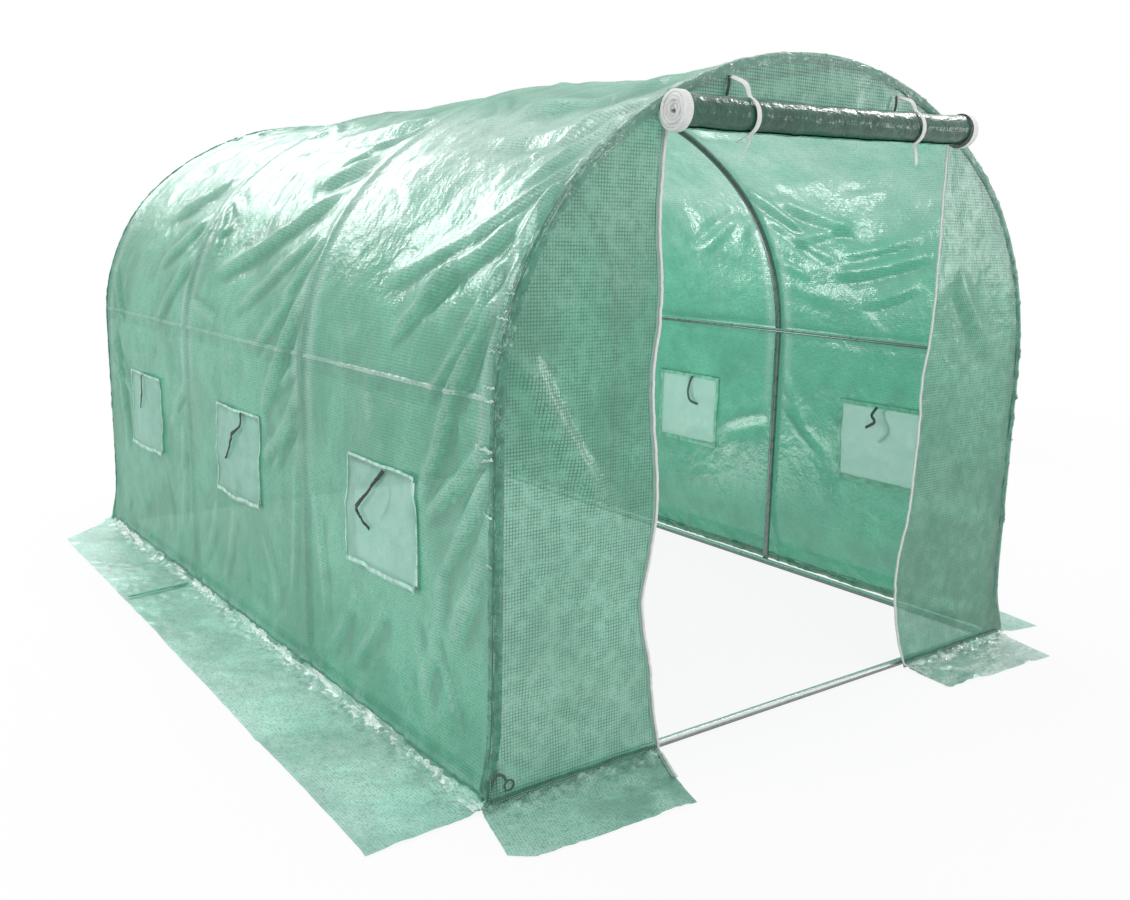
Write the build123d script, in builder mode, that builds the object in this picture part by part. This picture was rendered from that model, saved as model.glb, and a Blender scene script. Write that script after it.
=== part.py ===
"""Walk-in polytunnel greenhouse: a hooped steel tube frame under a sewn cover of reinforced film.

Frame: X across, +Y from the door end to the closed end, +Z up, in millimetres.
The origin is on the ground, in the middle of the footprint.
"""

from build123d import *
from math import cos, radians, sin
import os

# Overall size, and the bays between hoops
tunnel_length = 3000.0
tunnel_height = 1735.0
hoop_half_width = 975.0
bay_count = 3

# Steel tube frame
hoop_tube = 22.0
base_tube = 22.0
bar_tube = 16.0
post_height = 889.0
blend_angle = 50.0
mid_bar_rise = 42.0
bar_gap = 0.5

# Sewn cover
film = 2.0
seat = 0.3
skirt_side = 280.0
skirt_end = 240.0
skirt_slant = 200.0

# Doorway, with the door rolled up over it
door_half_width = 515.0
door_head_height = 180.0
zip_width = 12.0
zip_thick = 3.0
roll_radius = 47.0
roll_half_length = 540.0
roll_shift = -20.0
roll_rise = 16.0
tie_place = 307.0
tie_width = 14.0
tie_thick = 1.5

# Windows, one in each bay of each long side
window_width = 330.0
window_height = 264.0
window_middle = 558.0
flap_margin = 16.0
net_thick = 1.0
strap_width = 10.0
strap_length = 135.0
strap_thick = 1.5

# Sizes that follow from those
tube_radius = hoop_tube / 2
cover_inside = tube_radius + seat
cover_outside = cover_inside + film
wall_face = hoop_half_width + cover_outside
crown_top = tunnel_height - cover_outside
arch_rise = crown_top - post_height
blend_cos = cos(radians(blend_angle))
blend_sin = sin(radians(blend_angle))
blend_share = blend_cos + blend_sin - 1
shoulder_radius = (arch_rise * blend_cos - hoop_half_width * (1 - blend_sin)) / blend_share
crown_radius = (hoop_half_width * blend_sin - arch_rise * (1 - blend_cos)) / blend_share
shoulder_x = hoop_half_width - shoulder_radius
crown_centre = crown_top - crown_radius
mid_bar_height = post_height + mid_bar_rise
base_bar_x = hoop_half_width - tube_radius - seat - base_tube / 2
mid_bar_reach = shoulder_radius - tube_radius - seat - bar_tube / 2
mid_bar_x = shoulder_x + (mid_bar_reach**2 - mid_bar_rise**2) ** 0.5
ridge_bar_height = crown_top - tube_radius - seat - bar_tube / 2
hoop_spacing = (tunnel_length - hoop_tube) / bay_count
hoop_places = [i * hoop_spacing - tunnel_length / 2 + tube_radius for i in range(bay_count + 1)]
bay_places = [y + hoop_spacing / 2 for y in hoop_places[:-1]]
door_top = tunnel_height - door_head_height
roll_height = door_top + roll_rise
end_inside = tunnel_length / 2 + seat
end_face = end_inside + film
roll_out = end_face + 2 * seat + tie_thick + roll_radius
bay_names = ["front", "middle", "back"]
sides = {"left": -1, "right": 1}


def save(part, name):
    """Labels a finished piece and writes it as the node of that name."""
    part.label = name
    export_step(part, f"parts/{name}.step")


def across(y):
    """The upright plane across the tunnel at y, seen from the door end."""
    return Plane(origin=(0, y, 0), x_dir=(1, 0, 0), z_dir=(0, -1, 0))


def post(side, y):
    """An upright tube that stands on the ground and carries half an arch."""
    with BuildPart() as tube:
        with BuildSketch():
            with Locations((side * hoop_half_width, y)):
                Circle(tube_radius)
        extrude(amount=post_height)
    return tube.part


def half_arch(side, y):
    """A bent tube from the top of a post to the ridge: a tight shoulder, then a flatter crown."""
    start = 0 if side > 0 else 180
    with BuildPart() as tube:
        with BuildLine(across(y)) as path:
            shoulder = CenterArc(
                (side * shoulder_x, post_height), shoulder_radius, start, side * blend_angle
            )
            CenterArc(
                (0, crown_centre), crown_radius, start + side * blend_angle, side * (90 - blend_angle)
            )
        with BuildSketch(Plane(origin=shoulder @ 0, z_dir=shoulder % 0)):
            Circle(tube_radius)
        sweep(path=path.line)
    return tube.part


def long_bars(x, z, diameter):
    """A line of tubes along the tunnel at (x, z), one for each bay, which meet at the hoops."""
    length = tunnel_length / bay_count
    with BuildPart() as bars:
        for bay in range(bay_count):
            with BuildSketch(across(bay * length - (tunnel_length - bar_gap) / 2)):
                with Locations((x, z)):
                    Circle(diameter / 2)
            extrude(amount=-(length - bar_gap))
    return bars.part


def end_base_bar(y):
    """The two tubes on the ground across one end, which meet in the middle."""
    reach = base_bar_x - base_tube / 2 - seat
    with BuildPart() as bars:
        for side in sides.values():
            with BuildSketch(Plane(origin=(side * reach, y, base_tube / 2), z_dir=(-side, 0, 0))):
                Circle(base_tube / 2)
            extrude(amount=reach - bar_gap / 2)
    return bars.part


def hoop_outline(outside):
    """The filled outline of the hoop, outside by that much from its tube's middle."""
    half = hoop_half_width + outside
    with BuildSketch() as outline:
        with BuildLine():
            Line((half, 0), (half, post_height))
            CenterArc((shoulder_x, post_height), shoulder_radius + outside, 0, blend_angle)
            CenterArc((0, crown_centre), crown_radius + outside, blend_angle, 180 - 2 * blend_angle)
            CenterArc((-shoulder_x, post_height), shoulder_radius + outside, 180 - blend_angle, blend_angle)
            Line((-half, post_height), (-half, 0))
            Line((-half, 0), (half, 0))
        make_face()
    return outline.sketch


def window_places(side):
    """The middle of each window of one long side, on the plane of its wall's middle."""
    return [(side * hoop_half_width, y, window_middle) for y in bay_places]


def tunnel_cover():
    """The sheet over all the hoops, from the ground on one side to the ground on the other."""
    with BuildPart() as sheet:
        with BuildSketch(across(-end_inside)):
            add(hoop_outline(cover_outside))
        extrude(amount=-2 * end_inside)
        with BuildSketch(across(-end_inside)):
            add(hoop_outline(cover_inside))
        extrude(amount=-2 * end_inside, mode=Mode.SUBTRACT)
        with Locations(*window_places(-1), *window_places(1)):
            Box(4 * cover_outside, window_width, window_height, mode=Mode.SUBTRACT)
    return sheet.part


def end_panel(y, low_x=-wall_face, high_x=wall_face, low_z=0.0):
    """A flat piece of an end wall, cut from the hoop's outline; y is its door-end face."""
    with BuildPart() as panel:
        with BuildSketch(across(y)):
            add(hoop_outline(cover_outside))
            with Locations(((low_x + high_x) / 2, (low_z + tunnel_height) / 2)):
                Rectangle(high_x - low_x, tunnel_height - low_z, mode=Mode.INTERSECT)
        extrude(amount=-film)
    return panel.part


def skirt(low_x, high_x, low_y, high_y):
    """A strip of the cover that lies flat on the ground."""
    with BuildPart() as strip:
        with BuildSketch():
            with Locations(((low_x + high_x) / 2, (low_y + high_y) / 2)):
                Rectangle(high_x - low_x, high_y - low_y)
        extrude(amount=film)
    return strip.part


def back_skirt():
    """The strip along the back wall, cut off at a slant at both ends."""
    with BuildPart() as strip:
        with BuildSketch():
            with BuildLine():
                Polyline(
                    (-wall_face, end_face),
                    (wall_face, end_face),
                    (wall_face - skirt_slant, end_face + skirt_end),
                    (-wall_face + skirt_slant, end_face + skirt_end),
                    close=True,
                )
            make_face()
        extrude(amount=film)
    return strip.part


def door_zips():
    """The two zip tapes, one down each edge of the doorway."""
    with BuildPart() as tapes:
        with BuildSketch(Plane.XY.offset(film + seat)):
            middle_x = door_half_width + zip_width / 2
            middle_y = -(end_face + zip_thick / 2)
            with Locations((-middle_x, middle_y), (middle_x, middle_y)):
                Rectangle(zip_width, zip_thick)
        extrude(amount=door_top - film - seat)
    return tapes.part


def door_roll():
    """The door, rolled up tight in front of the panel over the doorway."""
    with BuildPart() as roll:
        with BuildSketch(Plane.YZ.offset(roll_shift - roll_half_length)):
            with Locations((-roll_out, roll_height)):
                Circle(roll_radius)
        extrude(amount=2 * roll_half_length)
    return roll.part


def door_ties():
    """Two flat ties that go round the roll, against the panel behind it."""
    with BuildPart() as ties:
        for place in (roll_shift - tie_place, roll_shift + tie_place):
            with BuildSketch(Plane.YZ.offset(place - tie_width / 2)):
                with Locations((-roll_out, roll_height)):
                    Circle(roll_radius + seat + tie_thick)
                    Circle(roll_radius + seat, mode=Mode.SUBTRACT)
            extrude(amount=tie_width)
    return ties.part


def window_net(side):
    """The nets that fill the three window holes of one long side."""
    middle = hoop_half_width + cover_inside + film / 2
    with BuildPart() as nets:
        with Locations(*[(side * middle, y, window_middle) for y in bay_places]):
            Box(net_thick, window_width - 2 * seat, window_height - 2 * seat)
    return nets.part


def window_flap(side, y):
    """The clear flap that hangs over one window from outside."""
    middle = wall_face + seat + film / 2
    with BuildPart() as flap:
        with Locations((side * middle, y, window_middle)):
            Box(film, window_width + 2 * flap_margin, window_height + 2 * flap_margin)
    return flap.part


def window_straps(side):
    """The tie straps that hang down over the flaps of one long side."""
    middle = wall_face + film + 2 * seat + strap_thick / 2
    top = window_middle + window_height / 2 + flap_margin
    with BuildPart() as straps:
        with Locations(*[(side * middle, y, top - strap_length / 2) for y in bay_places]):
            Box(strap_thick, strap_width, strap_length)
    return straps.part


os.makedirs("parts", exist_ok=True)

for number, y in enumerate(hoop_places, start=1):
    for side_name, side in sides.items():
        save(post(side, y), f"hoop_{number}_post_{side_name}")
        save(half_arch(side, y), f"hoop_{number}_arch_{side_name}")

for side_name, side in sides.items():
    save(long_bars(side * base_bar_x, base_tube / 2, base_tube), f"base_bar_{side_name}")
    save(long_bars(side * mid_bar_x, mid_bar_height, bar_tube), f"mid_bar_{side_name}")
save(long_bars(0, ridge_bar_height, bar_tube), "ridge_bar")
save(end_base_bar(hoop_places[0]), "base_bar_front")
save(end_base_bar(hoop_places[-1]), "base_bar_back")

save(tunnel_cover(), "tunnel_cover")
save(end_panel(-end_face, high_x=-door_half_width), "front_wall_left")
save(end_panel(-end_face, low_x=door_half_width), "front_wall_right")
save(end_panel(-end_face, -door_half_width, door_half_width, door_top), "front_wall_over_door")
save(end_panel(end_inside), "back_wall")

save(skirt(-wall_face - skirt_side, -wall_face, -end_inside, end_inside), "skirt_left")
save(skirt(wall_face, wall_face + skirt_side, -end_inside, end_inside), "skirt_right")
save(skirt(-wall_face, -door_half_width, -end_face - skirt_end, -end_face), "skirt_front_left")
save(skirt(door_half_width, wall_face, -end_face - skirt_end, -end_face), "skirt_front_right")
save(back_skirt(), "skirt_back")

save(door_zips(), "door_zips")
save(door_roll(), "door_roll")
save(door_ties(), "door_ties")

for side_name, side in sides.items():
    save(window_net(side), f"window_nets_{side_name}")
    save(window_straps(side), f"window_straps_{side_name}")
    for bay_name, y in zip(bay_names, bay_places):
        save(window_flap(side, y), f"window_flap_{side_name}_{bay_name}")
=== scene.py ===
"""Looks of the walk-in polytunnel greenhouse: film, seams, zips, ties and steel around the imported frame."""

from math import cos, pi, radians, sin

import bpy
import numpy as np
from mathutils import Matrix, Vector, noise


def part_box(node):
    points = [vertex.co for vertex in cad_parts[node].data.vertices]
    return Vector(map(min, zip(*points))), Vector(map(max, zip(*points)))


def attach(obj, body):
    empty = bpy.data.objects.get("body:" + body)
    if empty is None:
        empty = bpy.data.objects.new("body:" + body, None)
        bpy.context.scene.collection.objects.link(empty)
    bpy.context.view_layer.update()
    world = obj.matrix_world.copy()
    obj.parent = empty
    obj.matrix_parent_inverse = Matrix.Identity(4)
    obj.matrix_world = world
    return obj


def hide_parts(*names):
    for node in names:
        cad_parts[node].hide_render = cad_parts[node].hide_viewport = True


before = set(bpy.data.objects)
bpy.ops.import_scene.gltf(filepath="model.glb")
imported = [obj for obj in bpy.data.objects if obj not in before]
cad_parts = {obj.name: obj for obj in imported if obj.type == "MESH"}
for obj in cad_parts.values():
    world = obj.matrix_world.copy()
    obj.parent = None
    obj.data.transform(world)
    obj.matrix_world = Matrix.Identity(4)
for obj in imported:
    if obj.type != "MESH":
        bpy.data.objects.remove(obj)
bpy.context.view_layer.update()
rng = np.random.default_rng(41)

# ---------------------------------------------------------------- places read from the frame

BLEND = radians(50)  # where the shoulder's tight bend meets the crown's flatter one

post_low, post_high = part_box("hoop_1_post_left")
cover_low, cover_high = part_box("tunnel_cover")
POST = post_high.z
HALF = -(post_low.x + post_high.x) / 2
OUT = -cover_low.x - HALF
RISE = cover_high.z - OUT - POST
WALL = HALF + OUT
TOP = POST + RISE + OUT
END = cover_high.y
bend_share = cos(BLEND) + sin(BLEND) - 1
SHOULDER = (RISE * cos(BLEND) - HALF * (1 - sin(BLEND))) / bend_share
CROWN = (HALF * sin(BLEND) - RISE * (1 - cos(BLEND))) / bend_share
TO_CROWN = POST + SHOULDER * BLEND
TO_RIDGE = TO_CROWN + CROWN * (pi / 2 - BLEND)
ARC = 2 * TO_RIDGE
hoop_ys = [sum(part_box(f"hoop_{n}_post_left")[i].y for i in (0, 1)) / 2 for n in (1, 2, 3, 4)]
mid_bar_z = sum(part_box("mid_bar_left")[i].z for i in (0, 1)) / 2
BAY_NAMES = ("front", "middle", "back")
SIDES = {"left": -1, "right": 1}

# ---------------------------------------------------------------- small tools


def turned_out(verts, faces):
    """The faces, all flipped if they look towards a place deep under the floor rather than away from it."""
    faces = [tuple(int(i) for i in f) for f in faces]
    a, b, c = (verts[[f[k] for f in faces]] for k in range(3))
    away = np.einsum("ij,ij->i", np.cross(b - a, c - a), a - np.array([0, 0, -5.0]))
    return [f[::-1] for f in faces] if away.sum() < 0 else faces


def new_object(name, verts, faces, uvs, material, slot, smooth=True, tones=None):
    """A mesh object that rides with the frame. uvs holds one place for each vertex, in metres of cloth.

    tones holds named values for each vertex: "relief", which is 1 on a ridge of the cloth,
    where it is painted paler, and -1 in a hollow, where it is painted darker, and "bleach",
    which is 1 where the film is palest, as pale patches or painted highlights."""
    mesh = bpy.data.meshes.new(name)
    mesh.from_pydata(verts.tolist(), [], turned_out(verts, faces))
    layer = mesh.uv_layers.new(name="cloth")
    corners = np.empty(len(mesh.loops), dtype=np.int32)
    mesh.loops.foreach_get("vertex_index", corners)
    layer.data.foreach_set("uv", uvs.astype(np.float32)[corners].ravel())
    for label, values in (tones or {}).items():
        attribute = mesh.attributes.new(label, "FLOAT", "POINT")
        attribute.data.foreach_set("value", values.astype(np.float32).ravel())
    mesh.polygons.foreach_set("use_smooth", [smooth] * len(mesh.polygons))
    mesh.materials.append(MATERIALS[material])
    mesh.update()
    piece = bpy.data.objects.new(name, mesh)
    bpy.context.scene.collection.objects.link(piece)
    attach(piece, "root")
    return piece


def grid_faces(rows, columns, keep=None):
    """The faces of a grid of rows by columns of vertices; keep says which cells stay."""
    r, c = np.meshgrid(np.arange(rows - 1), np.arange(columns - 1), indexing="ij")
    first = r * columns + c
    quads = np.stack([first, first + 1, first + columns + 1, first + columns], axis=-1)
    return quads.reshape(-1, 4) if keep is None else quads[keep]


def new_sheet(name, points, u, v, material, slot, **tones):
    """An object from a grid of points; u and v are their places on the cloth."""
    uvs = np.stack([u.ravel(), v.ravel()], axis=1)
    return new_object(name, points.reshape(-1, 3), grid_faces(*u.shape), uvs, material, slot, tones=tones)


def drop_loose(verts, faces, uvs, tones):
    """The same mesh without the vertices that no face uses."""
    used = np.unique(faces)
    renumber = np.full(len(verts), -1)
    renumber[used] = np.arange(len(used))
    tones = {label: values.ravel()[used] for label, values in tones.items()}
    return verts[used], renumber[faces], uvs[used], tones


def at(x, y, z):
    """Points from their three places, which are arrays or numbers."""
    return np.stack(np.broadcast_arrays(x, y, z), axis=-1)


def spanned(rows, columns):
    """Two grids of shares from 0 to 1: one that grows from row to row and one from column to column."""
    return np.meshgrid(np.linspace(0, 1, rows), np.linspace(0, 1, columns), indexing="ij")


def ridges(lift, size, passes=14):
    """1 on the ridges of a grid of heights and -1 in its hollows, where they stand out by size or more."""
    soft = lift.copy()
    for _ in range(passes):
        soft[1:-1] = (soft[:-2] + 2 * soft[1:-1] + soft[2:]) / 4
        soft[:, 1:-1] = (soft[:, :-2] + 2 * soft[:, 1:-1] + soft[:, 2:]) / 4
    return np.clip((lift - soft) / size, -1, 1)


def eased(values, low, high):
    """A smooth step from 0 at low to 1 at high."""
    t = np.clip((values - low) / (high - low), 0, 1)
    return t * t * (3 - 2 * t)


def hump(away, width):
    """1 where away is 0, falling off over width on both sides."""
    return np.exp(-((away / width) ** 2))


def fractal(points, size, seed, octaves=3):
    """Smooth noise between about -1 and 1 at each point, with lumps of that size in metres."""
    shift = Vector((seed * 7.13, seed * 3.71, seed * 5.37))
    return np.array([noise.fractal(Vector(p) / size + shift, 0.6, 2.1, octaves) for p in points])


def field_noise(y, s, size, seed, octaves=3, stretch=1.0):
    """The same noise over a sheet; stretch above 1 draws it out along y."""
    return fractal(at(y / stretch, s, 0.0).reshape(-1, 3), size, seed, octaves).reshape(y.shape)


def soft_curve(points, count):
    """A smooth line of count points through the given ones, evenly spaced by their number."""
    p = np.array(points, float)
    p = np.vstack([2 * p[0] - p[1], p, 2 * p[-1] - p[-2]])
    t = np.linspace(0, len(points) - 1 - 1e-9, count)
    i = t.astype(int)
    f = (t - i)[:, None]
    a, b, c, d = (p[i + k] for k in range(4))
    return 0.5 * (2 * b + (c - a) * f + (2 * a - 5 * b + 4 * c - d) * f**2 + (3 * b - a - 3 * c + d) * f**3)


def lengths_along(path):
    """How far along a path each of its points lies."""
    return np.concatenate([[0], np.cumsum(np.linalg.norm(np.diff(path, axis=0), axis=1))])


def along_line(points, share, round_it=False):
    """Places along a line of points at shares of its length, from 0 to 1."""
    points = soft_curve(points, 60) if round_it else np.array(points, float)
    lengths = lengths_along(points)
    return np.stack([np.interp(share * lengths[-1], lengths, points[:, k]) for k in (0, 1)], axis=-1)


def outline(s, off=OUT):
    """Points and outward normals of the hoop's outline. s is the way along it from the left ground."""
    side = np.where(s < TO_RIDGE, -1.0, 1.0)
    t = np.where(s < TO_RIDGE, s, ARC - s)
    above = np.where(t < TO_CROWN, (t - POST) / SHOULDER, BLEND + (t - TO_CROWN) / CROWN)
    angle = np.where(t < POST, 0, above)
    centre_x = np.where(t < TO_CROWN, HALF - SHOULDER, 0)
    centre_z = np.where(t < POST, t, np.where(t < TO_CROWN, POST, POST + RISE - CROWN))
    radius = np.where(t < TO_CROWN, SHOULDER, CROWN) + off
    x = centre_x + radius * np.cos(angle)
    z = centre_z + radius * np.sin(angle)
    return side * x, z, side * np.cos(angle), np.sin(angle)


def flare(s):
    """How far the cover stands out at its foot, where it turns out over the ground."""
    return np.where(s < TO_RIDGE, 0.024, 0.036) * hump(np.minimum(s, ARC - s), 0.11)


def width_at(z):
    """Half the outside width of the hoop's outline at height z."""
    x, height, _, _ = outline(np.linspace(0, TO_RIDGE, 2000))
    return np.interp(z, height, -x)


def top_at(x):
    """The height of the hoop's outside outline above x."""
    across, height, _, _ = outline(np.linspace(POST, TO_RIDGE, 2000))
    return np.interp(-np.abs(x), across, height)


def from_hoops(y):
    """How far each place along the tunnel is from the nearest hoop."""
    return np.min([np.abs(y - h) for h in hoop_ys], axis=0)


# ---------------------------------------------------------------- materials

MATERIALS = {}  # the materials made here, by name; the frame holds others of the same names
THREAD = 0.0080  # the film's threads are this far apart
THREAD_WIDTH = 0.0029


class Value:
    """What a node puts out. Sums, products and powers of values are nodes too."""

    def __init__(self, socket):
        self.socket = socket
        self.tree = socket.id_data

    def __add__(self, other):
        return maths("ADD", self, other)

    def __sub__(self, other):
        return maths("SUBTRACT", self, other)

    def __rsub__(self, other):
        return maths("SUBTRACT", other, self)

    def __mul__(self, other):
        return maths("MULTIPLY", self, other)

    def __truediv__(self, other):
        return maths("DIVIDE", self, other)

    def __pow__(self, other):
        return maths("POWER", self, other)

    def __abs__(self):
        return maths("ABSOLUTE", self)


def add(tree, kind, inputs=None, out=0, **settings):
    """One output of a new node; an input is given a value or linked from another node."""
    node = tree.nodes.new("ShaderNode" + kind)
    for name, value in settings.items():
        setattr(node, name, value)
    for name, value in (inputs or {}).items():
        if isinstance(value, Value):
            tree.links.new(value.socket, node.inputs[name])
        else:
            node.inputs[name].default_value = value
    return Value(node.outputs[out])


def maths(operation, *values):
    tree = next(value.tree for value in values if isinstance(value, Value))
    return add(tree, "Math", dict(enumerate(values)), operation=operation)


def split(vector):
    """The three parts of a vector."""
    first = add(vector.tree, "SeparateXYZ", {0: vector})
    return [Value(output) for output in first.socket.node.outputs]


def ranged(value, low, high, to_low=0.0, to_high=1.0):
    """A smooth step of value from low to high."""
    inputs = {"Value": value, "From Min": low, "From Max": high, "To Min": to_low, "To Max": to_high}
    return add(value.tree, "MapRange", inputs, interpolation_type="SMOOTHSTEP")


def painted(tone, *coats):
    """The tone under coats of other colours; each coat is how much of it shows, and its colour."""
    for share, coat in coats:
        a, b = (c if isinstance(c, Value) else (*c, 1) for c in (tone, coat))
        tone = add(share.tree, "Mix", {0: share, 6: a, 7: b}, out=2, data_type="RGBA")
    return tone


def toned(colour, factor, plus=0.0):
    return tuple(c * factor + plus for c in colour)


def layered(share, under, over):
    """Two shaders, of which the second has that share."""
    return add(under.tree, "MixShader", {0: share, 1: under, 2: over})


def bumped(height, strength, distance):
    return add(height.tree, "Bump", {"Height": height, "Strength": strength, "Distance": distance})


def noise_node(vector, scale, detail=3.0, rough=0.55):
    inputs = {"Vector": vector, "Scale": scale, "Detail": detail, "Roughness": rough}
    return add(vector.tree, "TexNoise", inputs)


def new_material(name):
    """The node tree of a new material, and the place on the object."""
    MATERIALS[name] = bpy.data.materials.new(name)
    MATERIALS[name].use_nodes = True
    tree = MATERIALS[name].node_tree
    tree.nodes.clear()
    return tree, add(tree, "TexCoord", out="Object")


def on_cloth(tree):
    """The two places on the cloth."""
    return split(add(tree, "UVMap", uv_map="cloth"))[:2]


def finish(shader, output="ShaderNodeOutputMaterial"):
    """Makes the shader what the material or the world shows."""
    shader.tree.links.new(shader.socket, shader.tree.nodes.new(output).inputs["Surface"])


def thread_lines(across, pitch, width):
    """1 on evenly spaced threads, 0 between them."""
    half = width / pitch / 2
    return ranged(abs(maths("FRACT", across / pitch) - 0.5), half * 1.5, half * 0.5)


def woven(u, v, pitch, width, strengths=None):
    """Threads both ways; strengths is how strongly those along each way show."""
    lines = [thread_lines(across, pitch, width) for across in (u, v)]
    if strengths:
        lines = [line * strength for line, strength in zip(lines, strengths)]
    return maths("MAXIMUM", *lines)


def film_material(name, colour, through, clear, threads, milk=0.0, rough=0.16, crinkle=1.0, haze=0.05,
                  lit=0.42, glints=0.0, white=(0.76, 0.92, 0.87)):
    """Clear woven film: a glossy skin over green plastic that glows when lit from behind.

    through is the colour of the light that it lets through, clear how much it shows what is behind it,
    threads how strongly its threads show, those that run up it and those along it, milk how much paler it
    is, haze how much it mirrors when looked at straight, lit how much light comes through it, glints how
    much of it has painted white glints, and white the colour of its pale patches and painted highlights."""
    tree, place = new_material(name)
    u, v = on_cloth(tree)
    relief = add(tree, "Attribute", out="Fac", attribute_name="relief")
    bleach = add(tree, "Attribute", out="Fac", attribute_name="bleach")
    uneven = ranged(noise_node(place, 26.0, 2.0, 0.65), 0.3, 0.62, 0.45, 1.0)
    grid = woven(u, v, THREAD, THREAD_WIDTH, threads) * uneven
    clouds = noise_node(place, 3.4, 5.0, 0.62)
    dusty = noise_node(place, 1.9, 3.0, 0.6)
    specks = noise_node(place, 170.0, 2.0, 0.75)
    tone = painted(
        toned(colour, 0.74),
        (ranged(clouds, 0.36, 0.62), toned(colour, 1.15, 0.08)),
        (ranged(dusty, 0.47, 0.66, 0.0, 0.55), toned(colour, 0.62, 0.09)),
        # Pale patches, and painted highlights, where the film is marked palest.
        (bleach * 0.85, white),
        # Ridges painted paler, a near-white painted highlight streak, and painted shade in the hollows.
        (ranged(relief, 0.1, 1.0, 0.0, 0.45), (0.55, 0.84, 0.74)),
        (ranged(relief, 1.0, 2.0, 0.0, 0.8), (0.86, 0.97, 0.93)),
        (ranged(relief, -0.1, -1.0, 0.0, 0.50), toned(colour, 0.42)),
        (ranged(specks, 0.50, 0.68, 0.0, 0.8), toned(colour, 0.45)),
        (grid, toned(colour, 0.30)),
    )
    if milk:
        patches = ranged(noise_node(place, 16.0, 4.0, 0.6), 0.36, 0.64, 0.3 * milk, 2.0 * milk)
        tone = painted(tone, (patches, (0.75, 0.88, 0.85)))
    if glints:
        tone = painted_glints(add(tree, "CombineXYZ", {0: u, 1: v * 3.0}), tone, 45.0, glints)
    # The light let through is painted brighter under the painted highlights and darker in the painted
    # hollows.
    glow = painted(
        through,
        (bleach * 0.7, (0.72, 0.91, 0.85)),
        (grid * 0.8, toned(through, 0.4)),
        (ranged(relief, -0.35, -1.2, 0.0, 0.45), toned(through, 0.35)),
    )
    creases = abs(noise_node(place, 13.0, 3.0, 0.5) - 0.5)
    sharp = abs(noise_node(place, 32.0, 2.0, 0.6) - 0.5)
    height = grid * 0.05 + noise_node(place, 30.0, 3.0, 0.62) + noise_node(place, 170.0, 1.0, 0.6) * 0.2
    bump = bumped(height + creases * -2.2 + sharp * -0.8, 0.42 * crinkle, 0.006)
    body = {"Base Color": tone, "Roughness": 0.45, "IOR": 1.45, "Specular IOR Level": 0.2, "Normal": bump}
    plastic = layered(lit, add(tree, "BsdfPrincipled", body),
                      add(tree, "BsdfTranslucent", {"Color": glow, "Normal": bump}))
    see = add(tree, "BsdfTransparent", {"Color": (0.50, 0.86, 0.72, 1)})
    layers = layered((1.0 - grid * 0.7) * clear, plastic, see)
    slant = add(tree, "LayerWeight", {"Blend": 0.5, "Normal": bump}, out="Facing")
    sheen = {"Color": (0.94, 1, 0.98, 1), "Roughness": 0.46, "Normal": bump}
    layers = layered(slant**2.0 * 0.05 + 0.4 * haze, layers, add(tree, "BsdfGlossy", sheen))
    skin_rough = ranged(noise_node(place, 9.0, 2.0), 0.3, 0.7, rough * 0.7, rough * 1.5)
    gloss = {"Color": (1, 1, 1, 1), "Roughness": skin_rough, "Normal": bump}
    mirror = (slant**3.0 * 0.11 + haze) * (grid * -0.8 + 1.0)
    finish(layered(mirror, layers, add(tree, "BsdfGlossy", gloss)))


def painted_glints(place, tone, scale, share):
    """Painted glints: thin meandering lines of white over a share of the tone, in patches."""
    lumps = add(place.tree, "TexNoise", {"Vector": place, "Scale": scale, "Detail": 3.0, "Distortion": 0.8})
    line = ranged(abs(lumps - 0.5), 0.10 * share, 0.04 * share)
    return painted(tone, (ranged(noise_node(place, scale / 7), 0.44, 0.58) * line, (0.88, 0.97, 0.94)))


def seam_material(name, colour, stitch, pitch=0.009, lines=(0.25, 0.75), glints=0.0):
    """Doubled film with rows of stitches. On its cloth, u runs along in metres and v across from 0 to 1."""
    tree, place = new_material(name)
    u, v = on_cloth(tree)
    rows = [ranged(abs(v - line), 0.09, 0.05) for line in lines]
    stitches = maths("MAXIMUM", *rows) if len(rows) > 1 else rows[0]
    stitches = stitches * (maths("LESS_THAN", maths("FRACT", u / pitch), 0.6) if pitch else 0.8)
    lumps = noise_node(place, 38.0, 3.0, 0.5)
    tone = painted(toned(colour, 0.75), (ranged(lumps, 0.30, 0.70), toned(colour, 1.25)), (stitches, stitch))
    if glints:
        # Painted paler towards the top as a highlight, with painted white glints that grow stronger higher
        # up.
        high = split(place)[2]
        tone = painted(tone, (ranged(high, 1.20, 1.65, 0.0, 0.45), (0.38, 0.58, 0.50)))
        glinted = painted_glints(add(tree, "CombineXYZ", {0: u, 1: v * 0.12}), tone, 55.0, glints)
        tone = painted(tone, (ranged(high, 0.75, 1.30, 0.3, 1.0), glinted))
    bump = bumped(stitches * -0.3 + lumps, 0.35, 0.005)
    body = add(tree, "BsdfPrincipled",
               {"Base Color": tone, "Roughness": 0.3, "Coat Weight": 0.8, "Coat Roughness": 0.08,
                "Normal": bump, "Coat Normal": bump})
    plastic = layered(0.3, body, add(tree, "BsdfTranslucent", {"Color": tone}))
    finish(layered(0.12, plastic, add(tree, "BsdfTransparent", {"Color": (0.75, 0.92, 0.84, 1)})))


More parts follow.
